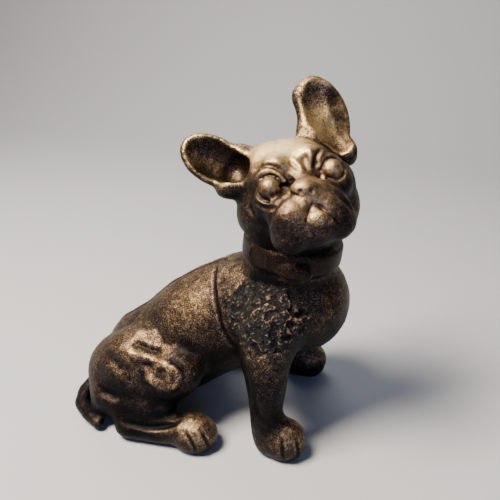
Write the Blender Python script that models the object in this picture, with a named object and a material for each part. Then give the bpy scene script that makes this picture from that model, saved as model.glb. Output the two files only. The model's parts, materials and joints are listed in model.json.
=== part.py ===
"""A doorstop in the shape of a seated bulldog, cast in two halves that meet along its spine.

The dog looks along +X and turns its head to its right, towards -Y. It stands on z = 0.
Every place and radius below is in figure units: the dog is FIGURE_UNITS of them tall.
"""

import math

import bmesh
import bpy
import numpy as np
from mathutils import Euler, Matrix, Vector
from mathutils.bvhtree import BVHTree

# Driving sizes, in metres
FIGURE_HEIGHT = 0.190
PARTING_GAP = 0.0003
CLAY_GRAIN = 0.0012
FACETS = 8200

# Proportions, in figure units
FIGURE_UNITS = 186.5
UNIT = FIGURE_HEIGHT / FIGURE_UNITS

# The head's own frame: +X to the dog's left cheek, -Y out of the face, +Z to the crown
HEAD_AT = (-1.9, -14.0, 135.3)
HEAD_TURN = 22.8
HEAD_LIFT = 25.6
HEAD_ROLL = -14.0


def head_frame():
    """The head's frame in the figure's: turned about the neck, lifted, then tipped sideways."""
    turn = Matrix.Rotation(math.radians(HEAD_TURN), 4, "Z")
    lift = Matrix.Rotation(math.radians(-HEAD_LIFT), 4, "X")
    roll = Matrix.Rotation(math.radians(HEAD_ROLL), 4, "Y")
    return Matrix.Translation(HEAD_AT) @ turn @ lift @ roll


BODY = Matrix.Identity(4)
HEAD = head_frame()


class Clay:
    """A heap of closed lumps that fuse into one skin."""

    def __init__(self, name):
        self.mesh = bpy.data.meshes.new(name)
        self.heap = bmesh.new()

    def blob(self, frame, at, radii, turn=(0, 0, 0)):
        """An ellipsoid, turned by three angles in degrees."""
        place = Matrix.LocRotScale(Vector(at), Euler([math.radians(a) for a in turn]), Vector(radii))
        bmesh.ops.create_icosphere(
            self.heap, subdivisions=4, radius=1, matrix=Matrix.Scale(UNIT, 4) @ frame @ place
        )

    def pair(self, frame, at, radii, turn=(0, 0, 0)):
        """The same blob on both sides of the frame's middle plane x = 0."""
        for side in (1, -1):
            self.blob(
                frame,
                (side * at[0], at[1], at[2]),
                radii,
                (turn[0], side * turn[1], side * turn[2]),
            )

    def limb(self, frame, stations):
        """A tapering round limb through (x, y, z, radius) stations."""
        points = [Vector(s[:3]) for s in stations]
        for (a, b), (first, second) in zip(zip(points, points[1:]), zip(stations, stations[1:])):
            axis = b - a
            turn = axis.to_track_quat("Z", "Y").to_matrix().to_4x4()
            place = Matrix.Translation((a + b) / 2) @ turn
            bmesh.ops.create_cone(
                self.heap,
                cap_ends=True,
                segments=32,
                radius1=first[3],
                radius2=second[3],
                depth=axis.length,
                matrix=Matrix.Scale(UNIT, 4) @ frame @ place,
            )
        for station in stations:
            self.blob(frame, station[:3], (station[3],) * 3)

    def fuse(self, grain, rounds, factor=0.5):
        """Melts the heap and the skin so far into one skin, and smooths it."""
        self.heap.from_mesh(self.mesh)
        self.heap.to_mesh(self.mesh)
        self.heap.clear()
        self.mesh = settled(self.mesh, grain, rounds, factor)

    def carve(self, grain, rounds, factor=0.5):
        """Cuts the heap out of the skin, and smooths what is left."""
        cutter_mesh = bpy.data.meshes.new("hollow")
        self.heap.to_mesh(cutter_mesh)
        self.heap.clear()
        cutter = bpy.data.objects.new("hollow", settled(cutter_mesh, grain, 0, factor))
        bpy.context.scene.collection.objects.link(cutter)
        self.mesh = settled(self.mesh, grain, rounds, factor, cutter)
        bpy.data.objects.remove(cutter)


def settled(mesh, grain, rounds, factor, cutter=None):
    """The mesh, cut where there is a cutter, rebuilt in cells of one grain and smoothed."""
    carrier = bpy.data.objects.new("clay", mesh)
    bpy.context.scene.collection.objects.link(carrier)
    if cutter:
        cut = carrier.modifiers.new("Hollow", "BOOLEAN")
        cut.operation = "DIFFERENCE"
        cut.object = cutter
    remesh = carrier.modifiers.new("Fuse", "REMESH")
    remesh.mode = "VOXEL"
    remesh.voxel_size = grain
    if rounds:
        smooth = carrier.modifiers.new("Soften", "SMOOTH")
        smooth.factor = factor
        smooth.iterations = rounds
    graph = bpy.context.evaluated_depsgraph_get()
    made = bpy.data.meshes.new_from_object(carrier.evaluated_get(graph))
    bpy.data.objects.remove(carrier)
    return made


def torso(clay):
    clay.limb(
        BODY,
        [(-1.5, 0, 73, 28.6), (-13, 0, 71.5, 30), (-28, 0, 64.8, 30.6), (-42, 0, 57.4, 30.8), (-55, 0, 48.9, 30.6), (-68, 0, 37.2, 29.6), (-87, 0, 26, 27.5)],
    )
    clay.limb(BODY, [(-8, 0, 84, 24.5), (-4.5, -4, 100, 23), (-3, -8, 118, 22)])


def limbs(clay):
    for side in (-1, 1):
        out = side * 37
        clay.limb(BODY, [(-9, side * 24, 72, 18), (-11, side * 31, 56, 14), (-9, out, 40, 10.5)])
        clay.limb(BODY, [(-9, out, 40, 10.5), (-9.4, out, 30, 9.2), (-9, out, 16, 8.6), (-7, out, 7, 9)])
        clay.blob(BODY, (1, side * 38, 9.6), (12, 10.5, 12.6), (0, 15, 0))
        lower = 0 if side < 0 else 6
        clay.blob(BODY, (-84, side * 22.5, 28.5 - lower), (29, 20.5, 26), (0, -30, 0))
        clay.blob(BODY, (-97, side * 19, 22 - lower), (21.5, 21, 24.5))
        clay.blob(BODY, (-61, side * 33, 36), (17, 12, 14), (0, -30, 0))
        clay.limb(BODY, [(-85, side * 45.5, 7.5, 7.5), (-64, side * 45.5, 6.6, 6.5), (-50, side * 44, 9, 8)])
        clay.limb(BODY, [(-92, side * 34, 16, 13), (-76, side * 37, 14, 11)])
        clay.blob(BODY, (-47, side * 43.5, 8.2), (13.5, 11.5, 11.3))
        clay.limb(BODY, [(-60, side * 34, 34, 9), (-68, side * 38, 16, 7)])


def skull(clay):
    clay.blob(HEAD, (0, 4, 8), (25, 25, 20.5))
    clay.blob(HEAD, (-6, 5, 14), (17, 20, 15.5))
    clay.blob(HEAD, (15, 2, -6), (13.5, 17, 16))
    clay.blob(HEAD, (-15, 2, -4.5), (13.5, 17, 14.5))
    clay.blob(HEAD, (17.2, 3, -8.5), (13.6, 16, 16))
    clay.blob(HEAD, (-16, 2.5, -3), (13.5, 15, 14))
    clay.blob(HEAD, (20.3, -4, 2), (10, 9, 10))
    clay.blob(HEAD, (0, -8, -14), (17, 18, 12))


def tail(clay):
    clay.limb(
        BODY,
        [
            (-108, -6, 11.5, 8),
            (-118.5, -15, 9, 5.8),
            (-121.5, -24, 6.5, 5),
            (-119.5, -33, 5.4, 4.4),
            (-111.5, -41, 4.6, 3.8),
            (-101.5, -47.5, 3.6, 3.1),
        ],
    )


def collar(clay):
    """A broad strap round the neck, higher at the nape than at the throat."""
    place = Matrix.Translation((-3.7, -5, 106)) @ Euler((0, math.radians(5.5), 0)).to_matrix().to_4x4()
    bmesh.ops.create_cone(
        clay.heap,
        cap_ends=True,
        segments=64,
        radius1=25.2,
        radius2=25.2,
        depth=11,
        matrix=Matrix.Scale(UNIT, 4) @ place,
    )


def face(clay):
    clay.pair(HEAD, (9, -20.5, -9.5), (11, 11, 10.5))
    clay.blob(HEAD, (0, -22.5, -7), (9, 9.5, 8))
    clay.blob(HEAD, (0, -17.5, -17.5), (13, 12.5, 8.3))
    clay.pair(HEAD, (10.8, -17.5, -17.2), (9.5, 10.3, 8.8))
    clay.blob(HEAD, (0, -27, 1.2), (7.6, 5.5, 4.6), (12, 0, 0))
    clay.blob(HEAD, (1.5, -26.5, -14), (6.5, 5.5, 6))
    clay.pair(HEAD, (9, -15, 14), (8, 7, 6.5), (0, 25, 0))


def ears(clay):
    clay.blob(HEAD, (-31.3, 4, 27.8), (11.8, 6.5, 17.5), (0, -44, 0))
    clay.blob(HEAD, (-20.5, 3, 18.5), (12, 8, 11.5), (0, -44, 0))
    clay.blob(HEAD, (-26, 2, 13), (9.2, 8, 6))
    clay.blob(HEAD, (-19.2, 4, 25), (8, 6.5, 7.5), (0, -44, 0))
    clay.blob(HEAD, (27.2, 6, 35.5), (12.9, 6.5, 20), (0, -8, 0))
    clay.blob(HEAD, (22, 5, 24), (11.5, 7.5, 16))
    clay.blob(HEAD, (21.5, 7.5, 45.5), (7, 5, 7))
    clay.blob(HEAD, (31.2, 4, 15.2), (6.9, 6.5, 9.2), (0, -10, 0))


def ear_hollows(clay):
    clay.blob(HEAD, (-32, -3, 28.5), (10.3, 9, 15.6), (0, -44, 0))
    clay.blob(HEAD, (-23.5, -2, 20.5), (7.5, 9, 7.5), (0, -44, 0))
    clay.blob(HEAD, (28, -2, 38), (12, 8, 16.6), (0, -8, 0))
    clay.blob(HEAD, (30.5, -2, 26), (8.5, 8.5, 13), (0, 5, 0))


def socket(clay):
    """The deep corners beside the nose, below the brows."""
    clay.pair(HEAD, (7.4, -23.5, 4.6), (3.6, 6, 3.4), (0, 20, 0))


def eye_frame(side):
    """The frame of one eye, facing out of it along -Y."""
    at = Matrix.Translation((1.0 + side * 14.6, -17.6, 5.4 - 0.5 * side))
    return HEAD @ at @ Matrix.Rotation(math.radians(18 * side), 4, "Z")


def eyes(clay):
    for side in (-1, 1):
        eye = eye_frame(side)
        clay.limb(eye, ring(6.2, 1.9))
        clay.blob(eye, (0, -0.6, 0), (4.9, 5, 4.9))


def ring(radius, thickness):
    """Stations round a circle in a frame's X-Z plane."""
    turns = [math.radians(20 * i) for i in range(19)]
    return [(radius * math.cos(a), 0, radius * math.sin(a), thickness) for a in turns]


class Skin:
    """The fused skin as arrays in figure units, for strokes that push it in or out."""

    def __init__(self, mesh):
        self.mesh = mesh
        count = len(mesh.vertices)
        points = np.empty(count * 3)
        mesh.vertices.foreach_get("co", points)
        self.points = points.reshape(-1, 3) / UNIT
        normals = np.empty(count * 3)
        mesh.vertices.foreach_get("normal", normals)
        self.normals = normals.reshape(-1, 3)
        faces = [tuple(p.vertices) for p in mesh.polygons]
        self.tree = BVHTree.FromPolygons([tuple(p) for p in self.points], faces)
        self.lift = np.zeros(count)

    def placed(self, frame, path, look):
        """The path in the figure's frame, dropped on the skin along the frame's own direction."""
        along = (frame.to_3x3() @ Vector(look)).normalized()
        dropped = []
        for point in path:
            start = frame @ Vector(point)
            hit = self.tree.ray_cast(start - 80 * along, along)[0]
            dropped.append(np.array(hit if hit is not None else start))
        return np.array(dropped)

    def stroke(self, frame, path, width, depth, look=(0, 1, 0), taper=0.25):
        """Pushes the skin in by depth (out where it is negative) along a path."""
        line = self.placed(frame, path, look)
        lengths = np.linalg.norm(line[1:] - line[:-1], axis=1)
        total = max(lengths.sum(), 1e-9)
        best = np.full(len(self.points), np.inf)
        share = np.zeros(len(self.points))
        walked = 0.0
        for a, b, length in zip(line, line[1:], lengths):
            t = np.clip(((self.points - a) @ (b - a)) / max(length, 1e-9) ** 2, 0, 1)
            gap = np.linalg.norm(self.points - a - t[:, None] * (b - a), axis=1)
            nearer = gap < best
            best = np.where(nearer, gap, best)
            share = np.where(nearer, (walked + t * length) / total, share)
            walked += length
        along = (frame.to_3x3() @ Vector(look)).normalized()
        facing = np.clip(-(self.normals @ np.array(along)) * 3 + 0.4, 0, 1)
        side = np.clip(1 - (best / width) ** 2, 0, 1) ** 2
        ends = np.clip(np.minimum(share, 1 - share) / taper, 0, 1) ** 0.6 if taper else 1
        self.lift -= depth * side * ends * facing

    def dent(self, frame, at, radius, depth, look=(0, 1, 0)):
        """Pushes in one round place."""
        self.stroke(frame, [at, (at[0] + 0.01, at[1], at[2])], radius, depth, look, 0)

    def apply(self):
        """Moves the skin by every stroke since the last time."""
        self.points = self.points + self.normals * self.lift[:, None]
        self.mesh.vertices.foreach_set("co", (self.points * UNIT).ravel())
        self.mesh.update()


def face_relief(skin):
    """The creases round the eyes, the furrow between the brows and the mouth."""
    for side in (-1, 1):
        eye = eye_frame(side)
        crease = [(-side * 9.6 * math.cos(a), 0, 9.6 * math.sin(a)) for a in EYE_CREASE]
        skin.stroke(eye, crease, 2.2, 1.7)
    skin.stroke(HEAD, [(1, 0, 17), (1.5, 0, 12), (1.5, 0, 7)], 3, 1.6)
    skin.stroke(HEAD, [(-6.3, 0, -15.5), (-5.4, 0, -11.5), (-0.6, 0, -7.5)], 1.6, 0.8, taper=0.1)
    skin.stroke(HEAD, [(-0.6, 0, -7.5), (4.7, 0, -11), (8.2, 0, -15), (10.4, 0, -19)], 1.8, 1.1, taper=0.1)


def coat_relief(skin):
    """The folds of the haunches, the shoulders and the paws. The first shows on the right alone."""
    for side in (-1, 1):
        look = (0, -side, 0)
        for depth, width, path in COAT_FOLDS if side < 0 else COAT_FOLDS[1:]:
            skin.stroke(BODY, [(x, side * 60, z) for x, z in path], width, depth, look)
        for path in TOE_CREASES:
            skin.stroke(BODY, [(x, side * 60, z) for x, z in path], 1.8, 1.5, look)


# Each fold: how deep (out where negative), how wide, then its path as (x, z) seen from the side
COAT_FOLDS = (
    (-1.3, 6.5, ((-83, 60), (-76, 58), (-68, 54))),
    (2.6, 4, ((-88, 54), (-80, 54.5), (-71, 53), (-67, 51))),
    (-1.8, 4.5, ((-92, 55), (-87, 51), (-74, 49), (-61, 47), (-53, 41))),
    (3.0, 6.5, ((-64, 43.5), (-63, 42), (-61, 40))),
    (-1.4, 4.5, ((-71, 40), (-68, 37))),
    (1.8, 5, ((-95, 49), (-88, 46), (-78, 42))),
    (2.4, 4.5, ((-101, 25), (-95, 23.5), (-88, 23))),
    (2.2, 5, ((-70, 27), (-66, 23), (-63, 19))),
    (2.0, 3, ((-90, 13), (-80, 13), (-66, 15), (-58, 18))),
    (1.2, 2.2, ((-43, 87), (-37, 79), (-33, 67), (-28, 58), (-21, 55))),
    (1.4, 2.4, ((-12, 46), (-14, 39), (-12.5, 31), (-8, 24))),
)
TOE_CREASES = (
    ((0.8, 18.5), (2, 11), (2.4, 7), (2.6, 3)),
    ((7.4, 17), (9.2, 12), (9.2, 7), (8.8, 3)),
    ((-50, 15), (-46, 13), (-43, 8), (-42, 3)),
    ((-42, 17), (-38.5, 12), (-36.5, 8), (-36, 3)),
)
EYE_CREASE = [math.radians(a) for a in range(0, 130, 15)]


def model_dog():
    """The whole figure as one skin, in metres."""
    clay = Clay("dog")
    torso(clay)
    limbs(clay)
    skull(clay)
    clay.fuse(2.0 * UNIT, 8)
    tail(clay)
    face(clay)
    ears(clay)
    clay.fuse(CLAY_GRAIN, 6)
    collar(clay)
    clay.fuse(CLAY_GRAIN, 2)
    ear_hollows(clay)
    socket(clay)
    clay.carve(CLAY_GRAIN, 3)
    eyes(clay)
    clay.fuse(CLAY_GRAIN, 1)
    skin = Skin(clay.mesh)
    face_relief(skin)
    coat_relief(skin)
    skin.apply()
    return clay.mesh


def smooth_step(value):
    value = min(max(value, 0.0), 1.0)
    return value * value * (3 - 2 * value)


def joint_y(x, z):
    """Where the halves meet: the middle plane, bent back behind the dog's left ear."""
    start = -16 - 12 * smooth_step((z - 158) / 14)
    return 30 * smooth_step((z - 138) / 30) * smooth_step((x - start) / 14)


JOINT_COLUMNS = (-260, -28, -24, -20, -16, -12, -9, -5.5, -2, 260)
JOINT_ROWS = (-60, 138, 143, 148, 153, 158, 163, 168, 172, 300)


def half_cutter(name, side):
    """A block, grown from the joint towards y = side * 200 and down below the floor."""
    block = bmesh.new()
    skin = side * PARTING_GAP / UNIT / 2
    near, far = [], []
    for x in JOINT_COLUMNS:
        near.append([block.verts.new((x, joint_y(x, z) - skin, z)) for z in JOINT_ROWS])
        far.append([block.verts.new((x, side * 200, z)) for z in JOINT_ROWS])
    last_x, last_z = len(JOINT_COLUMNS) - 1, len(JOINT_ROWS) - 1
    for i in range(last_x):
        for j in range(last_z):
            for sheet in (near, far):
                block.faces.new([sheet[i][j], sheet[i + 1][j], sheet[i + 1][j + 1]])
                block.faces.new([sheet[i][j], sheet[i + 1][j + 1], sheet[i][j + 1]])
    for i in range(last_x):
        for j in (0, last_z):
            block.faces.new([near[i][j], near[i + 1][j], far[i + 1][j], far[i][j]])
    for j in range(last_z):
        for i in (0, last_x):
            block.faces.new([near[i][j], near[i][j + 1], far[i][j + 1], far[i][j]])
    bmesh.ops.recalc_face_normals(block, faces=block.faces)
    return helper(name, block)


def floor_cutter():
    """Everything below the ground."""
    block = bmesh.new()
    bmesh.ops.create_cube(block, size=1, matrix=Matrix.Diagonal((600, 600, 100, 1)))
    bmesh.ops.translate(block, verts=block.verts, vec=(0, 0, -50))
    return helper("below_ground", block)


def helper(name, block):
    bmesh.ops.scale(block, verts=block.verts, vec=(UNIT,) * 3)
    mesh = bpy.data.meshes.new(name)
    block.to_mesh(mesh)
    block.free()
    obj = bpy.data.objects.new(name, mesh)
    bpy.context.scene.collection.objects.link(obj)
    return obj


def half_casting(name, skin, cutters):
    """The skin with fewer triangles, less what the cutters take away."""
    carrier = bpy.data.objects.new(name, skin)
    bpy.context.scene.collection.objects.link(carrier)
    fewer = carrier.modifiers.new("Fewer", "DECIMATE")
    fewer.ratio = FACETS / (2 * len(skin.polygons))
    for cutter in cutters:
        cut = carrier.modifiers.new(cutter.name, "BOOLEAN")
        cut.operation = "DIFFERENCE"
        cut.solver = "EXACT"
        cut.object = cutter
    graph = bpy.context.evaluated_depsgraph_get()
    mesh = bpy.data.meshes.new_from_object(carrier.evaluated_get(graph))
    bpy.data.objects.remove(carrier)
    mesh.name = name
    return mesh


def finish(name, mesh, colour, roughness):
    """The object with its material."""
    material = bpy.data.materials.new(name)
    material.use_nodes = True
    shader = material.node_tree.nodes["Principled BSDF"]
    shader.inputs["Base Color"].default_value = (*colour, 1)
    shader.inputs["Metallic"].default_value = 0.9
    shader.inputs["Roughness"].default_value = roughness
    mesh.materials.clear()
    mesh.materials.append(material)
    obj = bpy.data.objects.new(name, mesh)
    bpy.context.scene.collection.objects.link(obj)


def centre_on_base(meshes):
    """Moves the meshes together, so that the figure's box stands on z = 0 about the z axis."""
    points = np.array([v.co for mesh in meshes for v in mesh.vertices])
    low, high = points.min(axis=0), points.max(axis=0)
    shift = Matrix.Translation((-(low[0] + high[0]) / 2, -(low[1] + high[1]) / 2, -low[2]))
    for mesh in meshes:
        mesh.transform(shift)


def main():
    for obj in list(bpy.data.objects):
        bpy.data.objects.remove(obj)
    skin = model_dog()
    ground = floor_cutter()
    left_side = half_cutter("left_side", 1)
    right_side = half_cutter("right_side", -1)
    right = half_casting("right_half", skin, (ground, left_side))
    left = half_casting("left_half", skin, (ground, right_side))
    for helper_object in (ground, left_side, right_side):
        bpy.data.objects.remove(helper_object)
    centre_on_base((right, left))
    finish("right_half", right, (0.21, 0.13, 0.08), 0.5)
    finish("left_half", left, (0.16, 0.11, 0.075), 0.55)


main()
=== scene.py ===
"""The looks of a cast-iron bulldog doorstop.

Its two halves are modelled finely, under a rubbed bronze finish. The dog looks along +X and
turns its head to its right, towards -Y. It stands on z = 0. Places and radii on the dog are in
figure units, of which it is FIGURE_UNITS tall.
"""

import json
import math

import bpy
import numpy as np
from mathutils import Euler, Matrix, Vector, noise
from mathutils.bvhtree import BVHTree

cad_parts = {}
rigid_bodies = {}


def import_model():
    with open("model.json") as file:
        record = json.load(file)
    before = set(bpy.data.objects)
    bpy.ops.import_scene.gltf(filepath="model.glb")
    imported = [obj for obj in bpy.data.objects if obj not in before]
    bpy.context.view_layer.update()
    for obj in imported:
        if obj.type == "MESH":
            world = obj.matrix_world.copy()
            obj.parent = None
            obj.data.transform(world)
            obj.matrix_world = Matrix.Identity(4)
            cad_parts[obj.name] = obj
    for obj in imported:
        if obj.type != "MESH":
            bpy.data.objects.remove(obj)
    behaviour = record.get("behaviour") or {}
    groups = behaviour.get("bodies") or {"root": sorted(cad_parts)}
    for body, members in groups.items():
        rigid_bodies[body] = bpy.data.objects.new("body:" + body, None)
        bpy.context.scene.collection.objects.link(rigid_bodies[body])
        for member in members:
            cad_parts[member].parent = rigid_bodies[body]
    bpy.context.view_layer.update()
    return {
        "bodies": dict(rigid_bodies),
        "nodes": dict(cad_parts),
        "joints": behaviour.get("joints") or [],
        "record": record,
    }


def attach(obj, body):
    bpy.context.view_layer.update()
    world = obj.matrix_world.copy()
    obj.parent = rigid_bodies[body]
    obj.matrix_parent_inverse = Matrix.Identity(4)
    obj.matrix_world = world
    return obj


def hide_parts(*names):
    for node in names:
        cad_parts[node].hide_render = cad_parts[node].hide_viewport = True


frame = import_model()

FIGURE_HEIGHT = 0.190
FIGURE_UNITS = 186.5
UNIT = FIGURE_HEIGHT / FIGURE_UNITS
FIGURE_AT = Vector((0.0494, 0.0, 0.0))
PARTING_GAP = 0.0003

# How much lower the far haunch sits than the near one, in figure units
FAR_HAUNCH_DROP = 6

# Cells of the fused skin, in metres: wide for the body's soft masses, fine for what shows
SOFT_GRAIN = 2.0 * UNIT
FINE_GRAIN = 0.00095

# The head's own frame: +X to the dog's left cheek, -Y out of the face, +Z to the crown
HEAD_AT = (-1.9, -14.0, 135.3)
HEAD_TURN = 22.8
HEAD_LIFT = 25.6
HEAD_ROLL = -14.0


def head_frame():
    """The head's frame in the figure's: turned about the neck, lifted, then tipped sideways."""
    turn = Matrix.Rotation(math.radians(HEAD_TURN), 4, "Z")
    lift = Matrix.Rotation(math.radians(-HEAD_LIFT), 4, "X")
    roll = Matrix.Rotation(math.radians(HEAD_ROLL), 4, "Y")
    return Matrix.Translation(HEAD_AT) @ turn @ lift @ roll


BODY = Matrix.Identity(4)
HEAD = head_frame()


def select_only(*objects):
    """Selects these objects alone, the first one active."""
    bpy.ops.object.select_all(action="DESELECT")
    for obj in objects:
        obj.select_set(True)
    bpy.context.view_layer.objects.active = objects[0]


def apply_modifier(obj, kind, **settings):
    """Adds a modifier with these settings and applies it."""
    select_only(obj)
    modifier = obj.modifiers.new(kind.title(), kind)
    for name, value in settings.items():
        setattr(modifier, name, value)
    bpy.ops.object.modifier_apply(modifier=modifier.name)


# ---------------------------------------------------------------- the lumps


class Clay:
    """Closed lumps, added one by one and fused into one skin."""

    def __init__(self, name):
        self.name = name
        self.skin = None
        self.lumps = []

    def keep(self, place):
        """Takes the primitive just added as a lump and puts it in its place."""
        lump = bpy.context.object
        lump.matrix_world = Matrix.Translation(FIGURE_AT) @ Matrix.Scale(UNIT, 4) @ place
        self.lumps.append(lump)

    def blob(self, frame, at, radii, turn=(0, 0, 0)):
        """An ellipsoid, turned by three angles in degrees."""
        bpy.ops.mesh.primitive_ico_sphere_add(subdivisions=4, radius=1)
        angles = Euler([math.radians(a) for a in turn])
        self.keep(frame @ Matrix.LocRotScale(Vector(at), angles, Vector(radii)))

    def pair(self, frame, at, radii, turn=(0, 0, 0)):
        """The same blob on both sides of the frame's middle plane x = 0."""
        for side in (1, -1):
            place = (side * at[0], at[1], at[2])
            self.blob(frame, place, radii, (turn[0], side * turn[1], side * turn[2]))

    def limb(self, frame, stations):
        """A tapering round limb through (x, y, z, radius) stations."""
        for first, second in zip(stations, stations[1:]):
            a, b = Vector(first[:3]), Vector(second[:3])
            turn = (b - a).to_track_quat("Z", "Y").to_matrix().to_4x4()
            bpy.ops.mesh.primitive_cone_add(
                vertices=32, radius1=first[3], radius2=second[3], depth=(b - a).length
            )
            self.keep(frame @ Matrix.Translation((a + b) / 2) @ turn)
        for station in stations:
            self.blob(frame, station[:3], (station[3],) * 3)

    def band(self, at, radius, width, tilt):
        """A short upright cylinder, tipped about +Y by an angle in degrees."""
        bpy.ops.mesh.primitive_cylinder_add(vertices=128, radius=radius, depth=width)
        self.keep(Matrix.Translation(at) @ Matrix.Rotation(math.radians(tilt), 4, "Y"))

    def joined(self, *others):
        """All the lumps as one object, with any other objects."""
        select_only(*self.lumps, *others)
        bpy.ops.object.transform_apply(location=True, rotation=True, scale=True)
        bpy.ops.object.join()
        self.lumps = []
        heap = bpy.context.object
        heap.name = self.name
        return heap

    def fuse(self, grain, rounds):
        """Melts the lumps and the skin so far into one skin, and smooths it."""
        self.skin = self.joined(*([self.skin] if self.skin else []))
        apply_modifier(self.skin, "REMESH", mode="VOXEL", voxel_size=grain)
        apply_modifier(self.skin, "SMOOTH", factor=0.5, iterations=rounds)

    def carve(self, grain, rounds):
        """Cuts the lumps out of the skin, and smooths what is left."""
        cutter = self.joined()
        apply_modifier(cutter, "REMESH", mode="VOXEL", voxel_size=grain)
        apply_modifier(self.skin, "BOOLEAN", operation="DIFFERENCE", object=cutter)
        bpy.data.objects.remove(cutter)
        apply_modifier(self.skin, "REMESH", mode="VOXEL", voxel_size=grain)
        apply_modifier(self.skin, "SMOOTH", factor=0.5, iterations=rounds)


def torso(clay):
    """The trunk from the chest down to the rump, and the neck."""
    clay.limb(
        BODY,
        [
            (-1.5, 0, 73, 28.6),
            (-13, 0, 71.5, 30),
            (-28, 0, 64.8, 30.6),
            (-42, 0, 57.4, 30.8),
            (-55, 0, 48.9, 30.6),
            (-68, 0, 37.2, 29.6),
            (-87, 0, 26, 27.5),
        ],
    )
    clay.limb(BODY, [(-8, 0, 84, 24.5), (-4.5, -4, 100, 23), (-3, -8, 118, 22)])


def limbs(clay):
    """The legs, the haunches and the paws of both sides."""
    for side in (-1, 1):
        out = side * 37
        drop = 0 if side < 0 else FAR_HAUNCH_DROP
        # the foreleg and its paw
        clay.limb(
            BODY,
            [(-9, side * 24, 72, 18), (-11, side * 31, 56, 14), (-9, out, 40, 10.5)],
        )
        clay.limb(
            BODY,
            [(-9, out, 40, 10.5), (-9.4, out, 30, 9.2), (-9, out, 16, 8.6), (-7, out, 7, 9)],
        )
        clay.blob(BODY, (1, side * 38, 9.6), (12, 10.5, 12.6), (0, 15, 0))
        # the haunch and its knee
        clay.blob(BODY, (-84, side * 22.5, 28.5 - drop), (29, 20.5, 26), (0, -30, 0))
        clay.blob(BODY, (-97, side * 19, 22 - drop), (21.5, 21, 24.5))
        clay.blob(BODY, (-97, side * 27, 16), (17, 19, 16))
        clay.blob(BODY, (-61, side * 33, 36), (17, 12, 14), (0, -30, 0))
        # the hind foot, its heel, its paw and the shin
        clay.limb(
            BODY,
            [
                (-85, side * 45.5, 7.5, 7.5),
                (-64, side * 45.5, 6.6, 6.5),
                (-50, side * 44, 9, 8),
            ],
        )
        clay.limb(BODY, [(-92, side * 34, 16, 13), (-76, side * 37, 14, 11)])
        clay.blob(BODY, (-47, side * 43.5, 8.2), (13.5, 11.5, 11.3))
        clay.limb(BODY, [(-60, side * 34, 34, 9), (-68, side * 38, 16, 7)])


def skull(clay):
    """The round of the head, its cheeks and the jaw."""
    clay.blob(HEAD, (0, 4, 8), (25, 25, 20.5))
    clay.blob(HEAD, (-6, 5, 14), (17, 20, 15.5))
    clay.blob(HEAD, (15, 2, -6), (13.5, 17, 16))
    clay.blob(HEAD, (-15, 2, -4.5), (13.5, 17, 14.5))
    clay.blob(HEAD, (17.2, 3, -8.5), (13.6, 16, 16))
    clay.blob(HEAD, (-16, 2.5, -3), (13.5, 15, 14))
    clay.blob(HEAD, (20.3, -4, 2), (10, 9, 10))
    clay.blob(HEAD, (0, -8, -14), (17, 18, 12))


def tail(clay):
    """The short tail, curled round to the near side."""
    clay.limb(
        BODY,
        [
            (-108, -6, 11.5, 8),
            (-118.5, -15, 9, 5.8),
            (-121.5, -24, 6.5, 5),
            (-119.5, -33, 5.4, 4.4),
            (-110.5, -40.5, 5.2, 4.2),
            (-102.6, -45.6, 4.8, 3.6),
        ],
    )


def muzzle(clay):
    """The muzzle, the chin, the brows and the fill under the eyes."""
    clay.blob(HEAD, (-9, -20.5, -9.5), (11, 11, 10.5))
    clay.limb(HEAD, [(1, -21.3, -3.6, 9.6), (6.5, -20.8, -8, 9.8), (9.5, -20, -12.5, 9.4)])
    clay.blob(HEAD, (0, -17.5, -17.5), (13, 12.5, 8.3))
    clay.pair(HEAD, (10.8, -17.5, -17.2), (9.5, 10.3, 8.8))
    clay.pair(HEAD, (9, -14.2, 13.8), (8.5, 7, 6.5), (0, 25, 0))
    clay.blob(HEAD, (1.5, -15, 7), (7.5, 7.5, 7))
    clay.blob(HEAD, (16.5, -13.2, 0), (9, 8, 9))
    clay.blob(HEAD, (-15, -13.2, -0.5), (8, 7.6, 7.5))


def ears(clay):
    """The two ears as full lumps, before they are hollowed."""
    clay.blob(HEAD, (-31.3, 4, 27.8), (11.8, 6.5, 17.5), (0, -44, 0))
    clay.blob(HEAD, (-20.5, 3, 18.5), (12, 8, 11.5), (0, -44, 0))
    clay.blob(HEAD, (-26, 2, 13), (9.2, 8, 6))
    clay.blob(HEAD, (-19.2, 4, 25), (8, 6.5, 7.5), (0, -44, 0))
    clay.blob(HEAD, (27.2, 6, 35.5), (12.9, 6.5, 20), (0, -8, 0))
    clay.blob(HEAD, (22, 5, 24), (11.5, 7.5, 16))
    clay.blob(HEAD, (21.5, 7.5, 45.5), (7, 5, 7))
    clay.blob(HEAD, (31.2, 4, 15.2), (6.9, 6.5, 9.2), (0, -10, 0))


# Each hollow of the ears: its middle, radii and turn in the head's frame
EAR_HOLLOWS = (
    ((-32, -3, 28.5), (10.3, 9, 15.6), (0, -44, 0)),
    ((-23.5, -2, 20.5), (7.5, 9, 7.5), (0, -44, 0)),
    ((28, -2, 38), (12.3, 8, 17.2), (0, -8, 0)),
    ((30.5, -2.5, 27), (8.8, 9, 14), (0, 5, 0)),
    ((26, -6, 25.5), (8.0, 8, 9.5), (0, -20, 0)),
)

COLLAR_AT = Vector((-3.7, -5, 106))
COLLAR_TILT = 5.5
COLLAR_RADIUS = 25.2
COLLAR_WIDTH = 11

# The thick piece that hangs from the front of the strap
COLLAR_TAG_AT = (1.4, -29.4, 102.8)
COLLAR_TAG_RADII = (9.0, 2.9, 5.6)


def eye_frame(side):
    """The frame of one eye, facing out of it along -Y."""
    at = Matrix.Translation((0.95 + side * 14.55, -17.6, 5.85))
    return HEAD @ at @ Matrix.Rotation(math.radians(18 * side), 4, "Z")


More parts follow.
